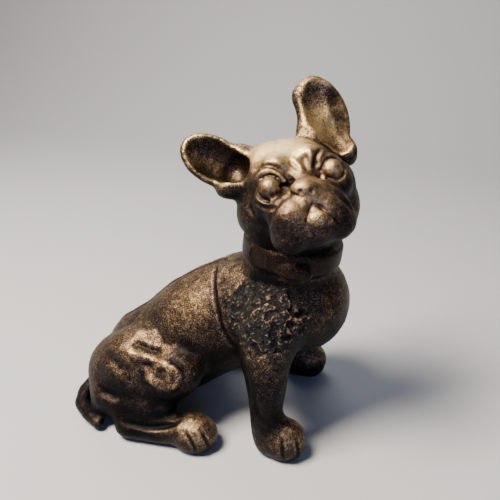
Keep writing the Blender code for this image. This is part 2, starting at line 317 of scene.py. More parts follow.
def arc(side, radius, start, end, steps=8):
    """Points round an eye, from one angle to another. 0 is towards the nose and 90 up."""
    angles = [math.radians(start + (end - start) * i / steps) for i in range(steps + 1)]
    return [(-side * radius * math.cos(a), 0, radius * math.sin(a)) for a in angles]


def face_parts(clay):
    """The nose, the chin, the eyeballs and the lids."""
    clay.blob(HEAD, (-0.4, -26.2, 0.2), (6.8, 5.4, 4.6), (12, 16, 0))
    clay.blob(HEAD, (0.2, -25.6, -4.2), (6.0, 5.0, 4.6))
    clay.blob(HEAD, (1.2, -27.4, -14.0), (7.2, 5.2, 4.8), (0, 10, 0))
    clay.blob(BODY, COLLAR_TAG_AT, COLLAR_TAG_RADII, (-8, 6, 0))
    for side in (-1, 1):
        eye = eye_frame(side)
        ball = 5.1 if side < 0 else 4.7
        clay.blob(eye, (0, -0.3, 0), (ball, 5.0, ball))
        for radius, start, end, thickness in LIDS[side]:
            line = arc(side, radius, start, end)
            clay.limb(eye, [(x, -0.5, z, t) for (x, _, z), t in zip(line, thickness)])


# The deep corner between the near eye and the nose: its middle, radii and turn
EYE_CORNER = ((-7.4, -23.8, 4.6), (2.6, 5, 2.4), (0, -20, 0))

# The rolls of each lid: radius, first and last angle, and how thick along them
LIDS = {
    -1: (
        (7.3, -22, 130, (1.1, 1.6, 2.0, 2.2, 2.3, 2.3, 2.1, 1.6, 1.0)),
        (6.7, 195, 255, (0.4, 0.6, 0.7, 0.7, 0.8, 0.7, 0.7, 0.6, 0.4)),
    ),
    1: (
        (6.2, 22, 160, (0.5, 0.9, 1.2, 1.4, 1.5, 1.5, 1.4, 1.3, 1.1)),
        (6.7, 160, 262, (1.0, 1.2, 1.3, 1.4, 1.4, 1.3, 1.2, 1.0, 0.6)),
    ),
}


# ---------------------------------------------------------------- strokes on the skin


class Skin:
    """The fused skin as arrays in figure units, for strokes that push it in or out."""

    def __init__(self, obj):
        self.mesh = obj.data
        count = len(self.mesh.vertices)
        self.points = read(self.mesh.vertices, "co", count, 3)
        self.points = (self.points - np.array(FIGURE_AT)) / UNIT
        self.normals = read(self.mesh.vertices, "normal", count, 3)
        ends = np.empty(len(self.mesh.edges) * 2, np.int32)
        self.mesh.edges.foreach_get("vertices", ends)
        self.ends = ends.reshape(-1, 2)
        faces = [tuple(p.vertices) for p in self.mesh.polygons]
        self.tree = BVHTree.FromPolygons([tuple(p) for p in self.points], faces)
        self.lift = np.zeros(count)

    def dropped(self, frame, path, look=(0, 1, 0)):
        """A path in a frame, dropped on the skin along one of the frame's own directions."""
        along = (frame.to_3x3() @ Vector(look)).normalized()
        line = []
        for point in path:
            start = frame @ Vector(point)
            hit = self.tree.ray_cast(start - 80 * along, along)[0]
            line.append(hit if hit is not None else start)
        return np.array(line), -np.array(along)

    def nearest(self, path):
        """The places on the skin nearest to a path, and the way out of it there."""
        found = [self.tree.find_nearest(Vector(point))[:2] for point in path]
        out = np.mean([np.array(normal) for _, normal in found], axis=0)
        return np.array([place for place, _ in found]), out / np.linalg.norm(out)

    def stroke(self, line, out, width, depth, taper=0.25):
        """Pushes the skin that faces out in by depth, or out where that is negative."""
        above = self.points > line.min(0) - width
        below = self.points < line.max(0) + width
        near = np.all(above & below, axis=1)
        points = self.points[near]
        lengths = np.linalg.norm(line[1:] - line[:-1], axis=1)
        total = max(lengths.sum(), 1e-9)
        best = np.full(len(points), np.inf)
        share = np.full(len(points), 0.5)
        walked = 0.0
        for a, b, length in zip(line, line[1:], lengths):
            t = np.clip(((points - a) @ (b - a)) / max(length, 1e-9) ** 2, 0, 1)
            gap = np.linalg.norm(points - a - t[:, None] * (b - a), axis=1)
            nearer = gap < best
            best = np.where(nearer, gap, best)
            share = np.where(nearer, (walked + t * length) / total, share)
            walked += length
        facing = np.clip((self.normals[near] @ out) * 3 + 0.4, 0, 1)
        side = np.clip(1 - (best / width) ** 2, 0, 1) ** 2
        ends = step(np.minimum(share, 1 - share), 0, taper) if taper else 1
        self.lift[near] -= depth * side * ends * facing

    def dent(self, line, out, radius, depth):
        """Pushes in a round place at the start of a line."""
        self.stroke(np.repeat(line[:1], 2, axis=0), out, radius, depth, 0)

    def apply(self):
        """Moves the skin by every stroke since the last time."""
        self.points = self.points + self.normals * self.lift[:, None]
        self.lift[:] = 0
        self.mesh.vertices.foreach_set("co", (self.points * UNIT + np.array(FIGURE_AT)).ravel())
        self.mesh.update()
        self.normals = read(self.mesh.vertices, "normal", len(self.points), 3)

    def softened(self, values, rounds):
        """The values, one or several to a point, evened out with their neighbours."""
        count = np.bincount(self.ends.ravel(), minlength=len(self.points))
        values = values.reshape(len(self.points), -1).astype(float)
        for _ in range(rounds):
            for column in range(values.shape[1]):
                v = values[:, column]
                total = np.bincount(self.ends[:, 0], v[self.ends[:, 1]], len(v))
                total += np.bincount(self.ends[:, 1], v[self.ends[:, 0]], len(v))
                values[:, column] = 0.5 * v + 0.5 * total / np.maximum(count, 1)
        return values.squeeze()

    def hollowness(self, rounds):
        """How far each point lies below its surroundings, in figure units."""
        return np.sum((self.softened(self.points, rounds) - self.points) * self.normals, axis=1)


def read(items, field, count, width):
    """One field of mesh items as rows of numbers."""
    values = np.empty(count * width)
    items.foreach_get(field, values)
    return values.reshape(-1, width)


def step(value, low, high):
    """0 below low, 1 above high, and smooth between."""
    t = np.clip((value - low) / (high - low), 0, 1)
    return t * t * (3 - 2 * t)


def grain(points, size, seed, octaves=1):
    """Smooth random values from about -1 to 1, whose lumps are this wide in figure units."""
    shift = Vector((seed * 17.3, seed * 5.1, seed * 9.7))
    if octaves == 1:
        return np.array([noise.noise(Vector(p) / size + shift) for p in points])
    return np.array(
        [noise.fractal(Vector(p) / size + shift, 1.0, 2.0, octaves) for p in points]
    )


# Each crease, furrow or fold of the face: how deep (out where negative), how wide, how
# long its ends fade, then its path as (x, z) in the head's frame
FACE_STROKES = (
    # the furrow between the brows, the fold beside it and the wrinkles
    (0.9, 2.6, 0.3, ((5.2, 17), (4.6, 13.5), (4.0, 10), (4.0, 6.4))),
    (-0.7, 2.0, 0.35, ((8.6, 18.5), (7.7, 14.5), (6.4, 10.5), (6.2, 8))),
    (0.5, 1.8, 0.35, ((-2.6, 15.5), (-0.6, 11.5), (0.8, 8.5))),
    (-0.4, 2.0, 0.35, ((-0.4, 16.5), (1.0, 12.5), (2.0, 8.5))),
    (-0.4, 2.4, 0.35, ((-9.5, 17.5), (-5.6, 14.0), (-3.0, 9.5))),
    # the crease over each eye
    (
        1.6, 2.1, 0.22,
        (
            (-18.5, 15.6), (-15, 16.9), (-12.9, 16.1), (-9.9, 14.5), (-7.6, 12.0),
            (-5.9, 9.1), (-4.5, 6.1), (-3.8, 4.6),
        ),
    ),
    (1.3, 1.8, 0.22, ((8.0, 6.5), (8.2, 9.0), (9.3, 12.2), (12.0, 15.0), (16.2, 16.8))),
    # the deep corner between each eye and the nose
    (1.7, 2.4, 0.2, ((-3.6, 5.0), (-5.4, 4.4), (-8.6, 4.2), (-10.0, 3.6))),
    (1.0, 2.2, 0.25, ((6.8, 5.2), (8.4, 3.8), (10.6, 3.4))),
    # the edge of the muzzle against the cheeks
    (
        1.0, 3.2, 0.2,
        (
            (-6.4, 1.2), (-8.4, -0.4), (-11, -0.7), (-14.6, -2.6), (-17.7, -5.1),
            (-19.4, -8.1), (-19.6, -12.5),
        ),
    ),
    (1.0, 3.0, 0.2, ((6.6, -1.6), (9.6, -3.4), (12.8, -7.4), (16.0, -12.0), (18.0, -17.0))),
    # the nose pad: the line under its wings
    (0.6, 1.4, 0.25, ((-7.6, 1.6), (-7.2, 0.0), (-5.9, -1.6), (-4.2, -2.4))),
    # the lips, and the bright fold beside the middle line
    (-0.5, 2.4, 0.3, ((-4.6, -3.0), (-4.2, -5.2), (-3.4, -7.4))),
    (0.6, 1.4, 0.25, ((0.2, -5.6), (-1.2, -7.6), (-2.5, -9.1), (-4.6, -12.0), (-5.8, -14.4))),
    (
        1.0, 1.5, 0.3,
        (
            (0.2, -6.2), (1.4, -8.0), (3.2, -10.5), (5.3, -13.3), (7.2, -16.1),
            (9.2, -18.8),
        ),
    ),
    (-0.6, 2.8, 0.35, ((3.0, -6.6), (6.0, -9.6), (9.0, -13.4), (11.2, -17))),
    (0.7, 2.2, 0.3, ((-5.8, -15.6), (-3.0, -18.6), (1.6, -19.6), (6.6, -19.4))),
    # the soft fold of the photographed cheek
    (0.9, 3.4, 0.35, ((-23.4, 2.5), (-23.2, -1), (-22.6, -5))),
)
NOSTRILS = ((-4.1, -0.4), (0.7, -1.3))

# Round each eye, as angles: 0 towards the nose and 90 up. Depth, width, radius, start, end
EYE_STROKES = {
    -1: ((0.7, 1.0, 5.5, -40, 130), (1.1, 1.7, 5.7, 180, 262), (0.6, 2.0, 9.0, 200, 280)),
    1: ((0.7, 1.0, 5.1, 10, 160), (0.7, 1.2, 5.2, 190, 340)),
}


def face_relief(skin):
    """The creases round the eyes, the nose, the mouth and the folds of the cheeks."""
    for depth, width, taper, path in FACE_STROKES:
        skin.stroke(*skin.dropped(HEAD, [(x, 0, z) for x, z in path]), width, depth, taper)
    for x, z in NOSTRILS:
        skin.dent(*skin.dropped(HEAD, [(x, 0, z)]), 1.8, 0.8)
    for side in (-1, 1):
        for depth, width, radius, start, end in EYE_STROKES[side]:
            path = arc(side, radius, start, end, 12)
            skin.stroke(*skin.dropped(eye_frame(side), path), width, depth, 0.15)


# Each fold of the coat: how deep (out where negative), how wide,
# how long its ends fade, then its path as (x, out to the side, z)
COAT_FOLDS = (
    # the bump above the haunch
    (
        -1.6, 5.2, 0.45,
        (
            (-88, 25, 53), (-84.6, 25.1, 52.8), (-77.5, 25.2, 52.7), (-71, 26.7, 52),
        ),
    ),
    # the slot under the bump
    (
        1.8, 2.9, 0.3,
        (
            (-86, 32.4, 52.9), (-82.2, 33, 52.7), (-77.4, 33.6, 52), (-73.3, 33.9, 50.9),
            (-69.3, 32.8, 49.6), (-65, 32.5, 49.5),
        ),
    ),
    # the long ridge over the knee, broad at the back and narrow round the pit
    (
        -1.0, 5.5, 0.4,
        (
            (-94, 31, 49), (-88.6, 33.9, 48.1), (-83.9, 36.2, 46.4), (-79.5, 38, 44.2),
            (-76.6, 39.5, 42.3),
        ),
    ),
    (
        -1.0, 3.4, 0.15,
        (
            (-89, 34, 49.5), (-81.7, 36.1, 48.1), (-77.2, 36.7, 46.9), (-73.5, 36.9, 46.5),
            (-68.5, 38.6, 46.9), (-63.4, 40.7, 47.7), (-59.7, 41.8, 47.1),
            (-56.1, 42.2, 45), (-54.5, 43, 42.2), (-55.2, 43.6, 38.6), (-58.6, 44.3, 35.1),
            (-62.5, 44, 32.3),
        ),
    ),
    (
        0.7, 2.6, 0.35,
        (
            (-66.5, 37, 50.4), (-61.4, 38.6, 50.6), (-56, 40, 49.2), (-51.6, 41.1, 45),
            (-50, 41.6, 40),
        ),
    ),
    (0.7, 3.0, 0.4, ((-77, 39, 44.2), (-73.5, 39.4, 44), (-70, 40, 43.6))),
    # the round pit inside the ridge, and the bump beside it
    (2.4, 6.4, 0.0, ((-64.3, 41.2, 40), (-64, 41.5, 39.6))),
    (
        1.0, 2.4, 0.35,
        (
            (-69, 41, 41.6), (-67.9, 41.3, 42.7), (-64, 41.6, 44.2), (-60.3, 42, 44),
        ),
    ),
    (-1.5, 4.2, 0.4, ((-76, 41.1, 38), (-70.2, 43.6, 37.5), (-65.6, 43.8, 34.6))),
    # the dark dip behind the ridge
    (
        1.2, 5.0, 0.35,
        (
            (-104, 32.5, 41), (-98, 34.7, 42.2), (-92.6, 37.5, 41.8), (-87.9, 38.9, 40.2),
            (-82.1, 40.6, 37.8), (-78, 41.3, 36),
        ),
    ),
    # the pit at the back of the haunch
    (
        1.6, 3.9, 0.45,
        (
            (-104.5, 39.1, 23.3), (-97.5, 40.1, 22.8), (-92.5, 41.7, 23), (-85, 44, 24.2),
        ),
    ),
    # the hollow over the heel
    (1.7, 4.6, 0.35, ((-71, 42.3, 22.0), (-64.2, 42.4, 23.6), (-57, 39, 22.8))),
    # the line between the haunch and the foot, and the foot's own ridge
    (
        1.2, 2.6, 0.25,
        (
            (-88, 49.4, 13), (-83.7, 50.1, 12.6), (-78, 50, 12.4), (-72.1, 50.2, 12.4),
            (-66.7, 49.5, 12.8), (-61.4, 48.3, 13.6), (-55.9, 47.4, 16),
            (-50.8, 44.3, 18.8),
        ),
    ),
    (
        -0.5, 3.4, 0.3,
        (
            (-76, 51.9, 7.6), (-67.4, 50.9, 9.6), (-58, 49.8, 12), (-51, 49.6, 15.6),
        ),
    ),
    # the edge of the shoulder, and the groove down the foreleg
    (
        1.1, 1.8, 0.12,
        (
            (-46, 3, 92), (-43.5, 11, 88.9), (-40.5, 21.4, 82.3), (-36, 27, 73),
            (-33.5, 29, 66), (-29, 31, 58), (-21, 38, 56),
        ),
    ),
    (1.2, 2.6, 0.35, ((-12, 46, 46), (-14, 45, 39), (-13, 45, 32), (-8, 45, 24))),
    # the toes
    (1.0, 1.6, 0.3, ((0.8, 45, 18.5), (2, 48, 11), (2.4, 48, 7), (2.6, 47, 2))),
    (1.0, 1.6, 0.3, ((7.4, 43.5, 17.5), (9.2, 44.5, 12), (9.6, 44, 7), (9.2, 43, 2))),
    (0.9, 1.6, 0.3, ((-50, 50, 15.5), (-46, 51.5, 12), (-43.5, 53, 8), (-42.5, 53, 2))),
    (0.9, 1.6, 0.3, ((-43, 48, 17), (-39, 50, 12.5), (-37, 50.5, 8), (-36.5, 50, 2))),
)


def coat_relief(skin):
    """The folds of the haunches, the shoulders and the paws.

    The first fold is on the right side alone.
    """
    for side in (-1, 1):
        for depth, width, taper, path in COAT_FOLDS if side < 0 else COAT_FOLDS[1:]:
            line = skin.nearest([(x, side * out, z) for x, out, z in path])
            skin.stroke(*line, width, depth, taper)


# The joint's far edge stands a little proud along the back, as (x, y, z)
SEAM = (
    (-112, 2.0, 44),
    (-104, 1.6, 50),
    (-90, 1.5, 60),
    (-76, 1.5, 67),
    (-60, 1.5, 78),
    (-48, 1.5, 86),
    (-36, 1.5, 94),
)
SEAM_OUT = (-0.5, 0.2, 0.84)
SEAM_WIDTH = 1.8
SEAM_HEIGHT = 0.6


def seam_relief(skin):
    """The lip of metal that the joint leaves along the back."""
    line, _ = skin.nearest(SEAM)
    skin.stroke(line, np.array(SEAM_OUT), SEAM_WIDTH, -SEAM_HEIGHT, 0.06)


# The strap's loose end, seen from the photographed side: raised edges as (x, z)
STRAP_EDGES = (
    ((-18.6, 113.6), (-20.6, 110.5), (-21.2, 107.5), (-20.2, 104.5), (-17.6, 102.0)),
    ((-11.2, 110.6), (-11.5, 107), (-11.8, 103.2)),
)


def strap_relief(skin):
    """The strap stands clear of the neck, and its loose end shows as raised edges."""
    local, out = collar_places(skin.points)
    on_neck = step(out, 18, 21) * (1 - step(out, 29, 31))
    band = 1 - step(np.abs(local[:, 2]), COLLAR_WIDTH / 2 - 0.4, COLLAR_WIDTH / 2 + 0.6)
    groove = np.exp(-(((np.abs(local[:, 2]) - COLLAR_WIDTH / 2 - 1.6) / 1.3) ** 2))
    skin.lift += on_neck * (0.3 * band - 1.1 * groove)
    for path in STRAP_EDGES:
        skin.stroke(*skin.dropped(BODY, [(x, 0, z) for x, z in path]), 1.0, -0.7, 0.15)


def collar_places(points):
    """The points in the strap's own frame, and how far out of its axis they are."""
    turn = Matrix.Rotation(math.radians(-COLLAR_TILT), 3, "Y")
    local = (points - np.array(COLLAR_AT)) @ np.array(turn).T
    return local, np.hypot(local[:, 0], local[:, 1])


# ---------------------------------------------------------------- places on the skin

# The flaked patch on the near shoulder, seen from the side
CRUST_MIDDLE = (-11.5, 77.5)
CRUST_RADII = (21.0, 15.5)


def crust_share(points, normals):
    """1 inside the flaked patch and 0 outside it, with a ragged edge."""
    ragged = grain(points, 7, 3, 3) * 0.17
    across, up = points[:, 0] - CRUST_MIDDLE[0], points[:, 2] - CRUST_MIDDLE[1]
    away = np.hypot(across / CRUST_RADII[0], up / CRUST_RADII[1]) + ragged
    inside = 1 - step(away, 0.93, 1.07)
    below_collar = 1 - step(points[:, 2], 94, 99)
    return inside * step(-normals[:, 1], 0.05, 0.35) * below_collar


def collar_share(points):
    """1 on the strap round the neck."""
    local, out = collar_places(points)
    band = 1 - step(np.abs(local[:, 2]), COLLAR_WIDTH / 2 - 0.2, COLLAR_WIDTH / 2 + 0.5)
    outside = step(out, COLLAR_RADIUS - 2.5, COLLAR_RADIUS - 1.2) * (1 - step(out, 28.5, 30))
    from_tag = (points - np.array(COLLAR_TAG_AT)) / np.array(COLLAR_TAG_RADII)
    tag = 1 - step(np.linalg.norm(from_tag, axis=1), 1.15, 1.3)
    return np.maximum(band * outside, tag)


# Where shade is painted near black deep in the ears: middle and radii in the head's frame
EAR_SHADE_PLACES = (
    ((-30, -2, 26), (15, 10, 15)),
    ((-20, -2, 19), (8, 9, 8)),
    ((35.5, 2, 36), (6, 9, 13)),
    ((34.5, 1, 25), (5, 9, 10)),
)


def ear_shade_share(points):
    """1 where shade is painted near black deep in the ears."""
    local = points @ np.array(HEAD.inverted())[:3, :3].T + np.array(HEAD.inverted())[:3, 3]
    inside = np.zeros(len(points))
    for at, radii in EAR_SHADE_PLACES:
        away = np.linalg.norm((local - np.array(at)) / np.array(radii), axis=1)
        inside = np.maximum(inside, 1 - step(away, 0.75, 1.1))
    return inside * ear_hollow_share(points)


def ear_hollow_share(points):
    """1 on the walls of the hollows cut into the ears."""
    found = np.zeros(len(points))
    for at, radii, turn in EAR_HOLLOWS:
        angles = Euler([math.radians(a) for a in turn])
        place = HEAD @ Matrix.LocRotScale(Vector(at), angles, Vector(radii))
        back = np.array(place.inverted())
        local = points @ back[:3, :3].T + back[:3, 3]
        found = np.maximum(found, 1 - step(np.linalg.norm(local, axis=1), 1.02, 1.1))
    return found


# The cast skin's unevenness, in figure units: how wide its lumps are, a seed and their height
SWELLS = ((6.5, 1, 0.22), (2.2, 2, 0.13))

# The flaked patch, in figure units: its curls, pits and crumbs, and how far they stand
CURL_SIZE, CURL_BEND, RIM_HEIGHT = 3.4, 2.8, 0.55
PIT_SIZE, PIT_DEPTH = 4.2, 1.3
CRUMB_SIZE, CRUMB_HEIGHT = 1.8, 0.45
CRUST_THICKNESS = 0.1


def roughen(skin):
    """The uneven skin that sand leaves on iron, and the flakes and pits of the patch."""
    points = skin.points
    swell = sum(grain(points, size, seed) * height for size, seed, height in SWELLS)
    collar = collar_share(points)
    from_nose = np.linalg.norm(points - np.array(HEAD @ Vector((0, -20, 2))), axis=1)
    skin.lift += swell * (0.35 + 0.65 * step(from_nose, 20, 34)) * (1 - 0.6 * collar)
    crust = crust_share(points, skin.normals)
    bent = np.stack([grain(points, CURL_SIZE, 5 + i) for i in range(3)], 1)
    curls = grain(points + CURL_BEND * bent, CURL_SIZE, 8)
    rims = RIM_HEIGHT * step(-np.abs(curls), -0.12, -0.01)
    pits = PIT_DEPTH * step(-grain(points, PIT_SIZE, 12), 0.0, 0.4)
    crumbs = CRUMB_HEIGHT * grain(points, CRUMB_SIZE, 9)
    skin.lift += crust * (rims - pits + crumbs + CRUST_THICKNESS)
    skin.apply()


def note_finish(skin, obj):
    """Keeps what the finish needs at each point: hollows, rubbed places with painted top light,
    painted shade, flakes and so on.
    """
    collar = collar_share(skin.points)
    # Fine dips keep the black patina of the creases; the broad dips add painted shade in the
    # deep recesses
    dips = 0.9 * skin.hollowness(3) + 0.2 * skin.hollowness(24)
    up = skin.normals[:, 2]
    spots = {
        "hollow": 0.5 + dips * (1 - 0.7 * collar) - 0.3 * ear_hollow_share(skin.points),
        "flakes": skin.softened(crust_share(skin.points, skin.normals), 1),
        "strap": collar,
        "soot": ear_shade_share(skin.points),
        "rubbed": wear_and_light_share(skin.points, up),
        "grime": painted_shade_share(skin.points, up),
        "coarse": coarse_share(skin.points),
    }
    for name, values in spots.items():
        layer = obj.data.attributes.new(name, "FLOAT", "POINT")
        layer.data.foreach_set("value", np.clip(values, 0, 1).astype(np.float32))


# Where hands have rubbed the finish bright, together with painted highlight there: middle,
# radius and share
WEAR_AND_LIGHT_PLACES = (
    (HEAD @ Vector((0, -8, 20)), 29, 1.0),
    (HEAD @ Vector((0, -28, -4)), 24, 0.62),
    (HEAD @ Vector((-12, -18, 8)), 13, 0.66),
    (HEAD @ Vector((14, -18, 6)), 15, 0.66),
    (HEAD @ Vector((25, 2, 31)), 18, 0.66),
    (Vector((-54, -20, 76)), 30, 0.43),
    (Vector((-82, -30, 52)), 20, 0.38),
    (Vector((-64, -41, 42)), 13, 0.36),
    (Vector((-48, -46, 14)), 13, 0.42),
)

# Where painted shade darkens the finish: middle, radius and share
PAINTED_SHADE_PLACES = (
    (Vector((-112, -32, 6)), 24, 1.0),
    (Vector((-84, -46, 6)), 26, 1.0),
    (Vector((-64, -44, 20)), 15, 0.8),
    (Vector((-10, -42, 34)), 22, 0.5),
    (Vector((-30, -38, 40)), 26, 0.5),
    (Vector((-16, -28, 92)), 13, 0.8),
    (Vector((-34, -24, 84)), 15, 0.5),
    (Vector((-98, -37, 34)), 24, 0.15),
    (Vector((-92, -42, 18)), 20, 0.8),
    (Vector((-55, -37, 53)), 11, 0.8),
)


def painted_shade_share(points, up):
    """1 where shade is painted dark: on faces turned down, under the belly, behind the legs and
    round the tail.
    """
    # Painted shade on the faces turned down
    share = 0.4 * step(-up, 0.0, 0.8)
    for at, radius, most in PAINTED_SHADE_PLACES:
        away = np.linalg.norm(points - np.array(at), axis=1)
        share = np.maximum(share, most * (1 - step(away, radius * 0.45, radius)))
    return share


def wear_and_light_share(points, up):
    """How far the finish is made bright: painted top light most where it faces up, and rubbed
    wear with painted highlight where hands reach.
    """
    # Painted top light: brighter where the skin faces up
    share = 0.4 * step(up, -0.4, 0.8)
    for at, radius, most in WEAR_AND_LIGHT_PLACES:
        away = np.linalg.norm(points - np.array(at), axis=1)
        here = most * (1 - step(away, radius * 0.3, radius))
        share = np.maximum(share, here * (0.6 + 0.4 * step(up, -0.7, 0.4)))
    return share


def coarse_share(points):
    """How grainy the cast skin is: much on the back and the ears, less on face and paws."""
    from_face = np.linalg.norm(points - np.array(HEAD @ Vector((0, -14, 4))), axis=1)
    face = 1 - step(from_face, 18, 34)
    return 1 - 0.7 * face - 0.35 * (1 - step(points[:, 2], 8, 40))


# ---------------------------------------------------------------- the halves


# The joint's bend, in figure units: how far it goes to the dog's left, over what height it
# comes on, and where along the dog it starts, further back towards the crown
JOINT_BEND = 30
JOINT_BEND_HEIGHTS = (138, 168)
JOINT_BEND_START = -16
JOINT_BEND_BACK = 12
JOINT_BEND_LENGTH = 14
JOINT_BACK_HEIGHTS = (158, 172)


def joint_y(x, z):
    """Where the halves meet: the middle plane, bent back behind the dog's left ear."""
    start = JOINT_BEND_START - JOINT_BEND_BACK * step(z, *JOINT_BACK_HEIGHTS)
    along = step(x, start, start + JOINT_BEND_LENGTH)
    return JOINT_BEND * step(z, *JOINT_BEND_HEIGHTS) * along


# The side block, in figure units: its middle as (x, z), its width and height, and its depth
BLOCK_MIDDLE = (-30, 90)
BLOCK_SPAN = (300, 280)
BLOCK_DEPTH = 160


def side_block(name, side):
    """A block grown from the joint to one side, to cut the other half away."""
    bpy.ops.object.select_all(action="DESELECT")
    bpy.ops.mesh.primitive_grid_add(x_subdivisions=90, y_subdivisions=70, size=1)
    block = bpy.context.object
    block.name = name
    gap = side * PARTING_GAP / UNIT / 2
    for vertex in block.data.vertices:
        x = BLOCK_MIDDLE[0] + BLOCK_SPAN[0] * vertex.co.x
        z = BLOCK_MIDDLE[1] + BLOCK_SPAN[1] * vertex.co.y
        vertex.co = Vector((x, joint_y(x, z) - gap, z)) * UNIT + FIGURE_AT
    bpy.ops.object.mode_set(mode="EDIT")
    bpy.ops.mesh.select_all(action="SELECT")
    depth = (0, side * BLOCK_DEPTH * UNIT, 0)
    bpy.ops.mesh.extrude_region_move(TRANSFORM_OT_translate={"value": depth})
    bpy.ops.mesh.select_all(action="SELECT")
    bpy.ops.mesh.normals_make_consistent(inside=False)
    bpy.ops.object.mode_set(mode="OBJECT")
    return block


def half_of(whole, name, side):
    """The part of the casting on one side of the joint."""
    select_only(whole)
    bpy.ops.object.duplicate()
    half = bpy.context.object
    half.name = name
    other = side_block(name + "_other_side", -side)
    apply_modifier(half, "BOOLEAN", operation="DIFFERENCE", solver="EXACT", object=other)
    bpy.data.objects.remove(other)
    return half


def flat_foot(obj):
    """Cuts the casting level on the ground and closes it."""
    select_only(obj)
    bpy.ops.object.mode_set(mode="EDIT")
    bpy.ops.mesh.select_all(action="SELECT")
    bpy.ops.mesh.bisect(plane_co=(0, 0, 0), plane_no=(0, 0, 1), use_fill=True, clear_inner=True)
    bpy.ops.object.mode_set(mode="OBJECT")


# The face's middle, and how far round it the cells are split
FACE_MIDDLE = HEAD @ Vector((0, -18, -1))
FACE_REACH = 27


def refine_face(obj):
    """Splits the cells of the face, where the finest forms are."""
    middle = np.array(FACE_MIDDLE)
    centres = read(obj.data.polygons, "center", len(obj.data.polygons), 3)
    away = np.linalg.norm((centres - np.array(FIGURE_AT)) / UNIT - middle, axis=1)
    select_only(obj)
    bpy.ops.object.mode_set(mode="EDIT")
    bpy.ops.mesh.select_all(action="DESELECT")
    bpy.ops.object.mode_set(mode="OBJECT")
    obj.data.polygons.foreach_set("select", away < FACE_REACH)
    bpy.ops.object.mode_set(mode="EDIT")
    bpy.ops.mesh.select_mode(type="FACE")
    bpy.ops.mesh.subdivide(number_cuts=1, smoothness=0)
    bpy.ops.mesh.vertices_smooth(factor=0.5, repeat=2)
    bpy.ops.object.mode_set(mode="OBJECT")


def model_dog():
    """The whole figure as one skin."""
    bpy.ops.object.select_all(action="DESELECT")
    clay = Clay("casting")
    torso(clay)
    limbs(clay)
    skull(clay)
    clay.fuse(SOFT_GRAIN, 8)
    tail(clay)
    muzzle(clay)
    ears(clay)
    clay.fuse(FINE_GRAIN, 10)
    clay.band(COLLAR_AT, COLLAR_RADIUS, COLLAR_WIDTH, COLLAR_TILT)
    clay.fuse(FINE_GRAIN, 3)
    for hollow in EAR_HOLLOWS:
        clay.blob(HEAD, *hollow)
    clay.blob(HEAD, *EYE_CORNER)
    clay.carve(FINE_GRAIN, 4)
    face_parts(clay)
    clay.fuse(FINE_GRAIN, 1)
    refine_face(clay.skin)
    skin = Skin(clay.skin)
    face_relief(skin)
    coat_relief(skin)
    strap_relief(skin)
    seam_relief(skin)
    skin.apply()
    roughen(skin)
    note_finish(skin, clay.skin)
    flat_foot(clay.skin)
    return clay.skin


# ---------------------------------------------------------------- finishes


def linear(code):
    """A colour written as sRGB hex, as linear light."""
    parts = [int(code[i : i + 2], 16) / 255 for i in (1, 3, 5)]
    light = [p / 12.92 if p <= 0.04045 else ((p + 0.055) / 1.055) ** 2.4 for p in parts]
    return (*light, 1.0)


def per_metre(millimetres):
    """The scale of a texture whose lumps are this wide."""
    return 1000.0 / millimetres


def add(tree, kind, settings=None, links=None):
    """Adds a node. Settings name its fields, its sockets or a ramp's stops.

    Links name its sockets alone.
    """
    node = tree.nodes.new(kind)
    for name, value in (settings or {}).items():
        if name == "stops":
            band = node.color_ramp
            while len(band.elements) < len(value):
                band.elements.new(0.5)
            for element, (at, code) in zip(band.elements, value):
                element.position = at
                element.color = linear(code)
        elif isinstance(name, int) or name in node.inputs:
            node.inputs[name].default_value = value
        else:
            setattr(node, name, value)
    for name, source in (links or {}).items():
        tree.links.new(source, node.inputs[name])
    return node


# What note_finish keeps on the skin for the finish to read
SPOTS = ("hollow", "flakes", "strap", "soot", "rubbed", "grime", "coarse")

# The finish's own unevenness: width in millimetres and detail. Sand grains are about 0.3 mm,
# drawn as 0.6 mm so that they show from a step away. Clumps are where they bake together,
# and clouds are where the plating wore unevenly.
GRAINS = (("sand", 0.6, 2.5), ("clumps", 2.6, 3.0), ("clouds", 14.0, 3.0))

# The flakes curl up in loops about 3 mm across: the noise that bends them, in millimetres,
# how far it does so in metres, the width of a loop and of its rim
CURL_NOISE_MM = 3.5
CURL_BEND_M = 0.005
LOOP_MM = 3.0
RIM_SHARE = 0.16

# How high the grains stand, in metres
GRAIN_HEIGHT_M = 0.0005

# What the finish adds up: a start and the share of each part
SUMS = (
    (
        # Real wear and the black patina of the creases, with painted top light and painted
        # shade; it picks the plating colour
        "worn",
        0.07,
        (
            ("hollow", -1.0),
            # Rubbed wear and painted top light brighten the plating here
            ("rubbed", 0.93),
            # Painted shade darkens the plating here
            ("grime", -0.42),
            ("sparkle", 1.6),
            ("clumps", 0.6),
            ("clouds", 0.42),
        ),
    ),
    ("flaked", 0.1, (("hollow", -1.3), ("rims", 0.42), ("sand", 0.9), ("clumps", 0.7))),
    ("metallic", 0.95, (("flakes", -0.45),)),
    ("roughness", 0.38, (("worn", -0.08), ("sand", 0.25), ("flakes", 0.25))),
    ("height", 0.0, (("sand", 0.55), ("clumps", 0.5), ("rims_here", 1.2))),
)

